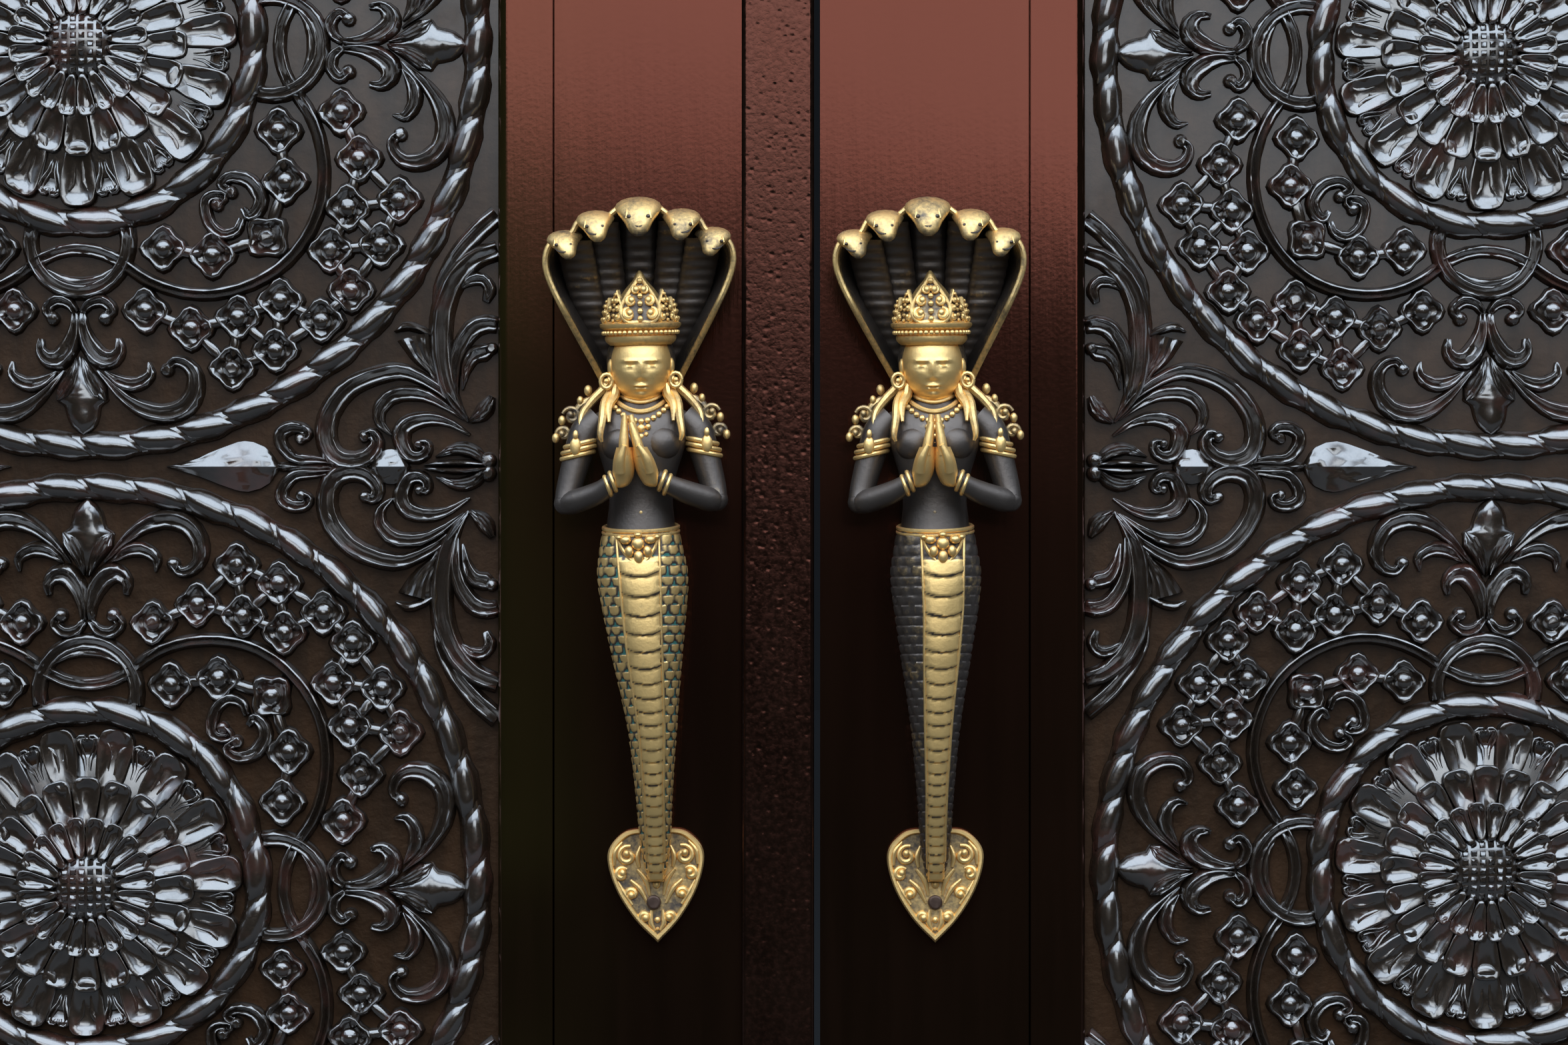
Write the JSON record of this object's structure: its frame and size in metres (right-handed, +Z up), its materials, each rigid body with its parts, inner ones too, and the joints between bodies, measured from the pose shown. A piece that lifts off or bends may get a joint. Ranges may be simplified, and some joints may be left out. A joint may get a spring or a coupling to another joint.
{
  "type": "carved temple door",
  "caption": "Pair of outward opening timber leaves in a rebated frame, with carved medallion panels, cast brass figure pulls, butt hinges and inside bolts.",
  "frame": {"origin": "underside of the threshold, at the middle of the frame's width and depth", "axes": "+Z up, +X to the right of someone facing the carved side, +Y into the building"},
  "size_m": [1.586, 0.201, 2.217],
  "materials": {
    "painted_wood": "gloss paint",
    "rough_paint": "thick rough gloss paint",
    "carved_wood": "dark gloss paint over carving",
    "cast_brass": "aged cast brass, dark in the hollows",
    "steel": "plain",
    "black_iron": "black"
  },
  "bodies": {
    "frame": {"bottom_bolt_keeper": "black_iron", "frame_head": "painted_wood", "frame_screws": "steel", "left_hinge_1_frame_flap": "black_iron", "left_hinge_2_frame_flap": "black_iron", "left_hinge_3_frame_flap": "black_iron", "left_jamb": "painted_wood", "right_hinge_1_frame_flap": "black_iron", "right_hinge_2_frame_flap": "black_iron", "right_hinge_3_frame_flap": "black_iron", "right_jamb": "painted_wood", "threshold": "painted_wood", "top_bolt_keeper": "black_iron"},
    "left_leaf": {"cross_bolt_body": "black_iron", "left_bottom_rail": "painted_wood", "left_carved_panel": "carved_wood", "left_handle": "cast_brass", "left_handle_foot_screw": "steel", "left_handle_nut": "steel", "left_handle_stud": "steel", "left_handle_washer": "steel", "left_hinge_1_leaf_flap": "black_iron", "left_hinge_2_leaf_flap": "black_iron", "left_hinge_3_leaf_flap": "black_iron", "left_hinge_pins": "black_iron", "left_hinge_stile": "painted_wood", "left_leaf_screws": "steel", "left_meeting_stile": "painted_wood", "left_panel_bead_bottom": "painted_wood", "left_panel_bead_left": "painted_wood", "left_panel_bead_right": "painted_wood", "left_panel_bead_top": "painted_wood", "left_top_rail": "painted_wood", "meeting_strip": "rough_paint"},
    "right_leaf": {"bottom_bolt_body": "black_iron", "cross_bolt_staple": "black_iron", "right_bottom_rail": "painted_wood", "right_carved_panel": "carved_wood", "right_handle": "cast_brass", "right_handle_foot_screw": "steel", "right_handle_nut": "steel", "right_handle_stud": "steel", "right_handle_washer": "steel", "right_hinge_1_leaf_flap": "black_iron", "right_hinge_2_leaf_flap": "black_iron", "right_hinge_3_leaf_flap": "black_iron", "right_hinge_pins": "black_iron", "right_hinge_stile": "painted_wood", "right_leaf_screws": "steel", "right_meeting_stile": "painted_wood", "right_panel_bead_bottom": "painted_wood", "right_panel_bead_left": "painted_wood", "right_panel_bead_right": "painted_wood", "right_panel_bead_top": "painted_wood", "right_top_rail": "painted_wood", "top_bolt_body": "black_iron"},
    "top_rod": {"top_bolt_rod": "black_iron"},
    "bottom_rod": {"bottom_bolt_rod": "black_iron"},
    "cross_rod": {"cross_bolt_rod": "black_iron"}
  },
  "joints": [
    {"name": "left_leaf_swing", "type": "hinge", "parent": "frame", "child": "left_leaf", "pos_m": [-0.7215, -0.0665, 0], "axis": [0, 0, -1], "range_deg": [0, 110]},
    {"name": "right_leaf_swing", "type": "hinge", "parent": "frame", "child": "right_leaf", "pos_m": [0.7215, -0.0665, 0], "axis": [0, 0, 1], "range_deg": [0, 110]},
    {"name": "top_bolt_slide", "type": "slide", "parent": "right_leaf", "child": "top_rod", "axis": [0, 0, 1], "range_m": [0, 0.024]},
    {"name": "bottom_bolt_slide", "type": "slide", "parent": "right_leaf", "child": "bottom_rod", "axis": [0, 0, -1], "range_m": [0, 0.024]},
    {"name": "cross_bolt_slide", "type": "slide", "parent": "left_leaf", "child": "cross_rod", "axis": [1, 0, 0], "range_m": [0, 0.046]}
  ]
}
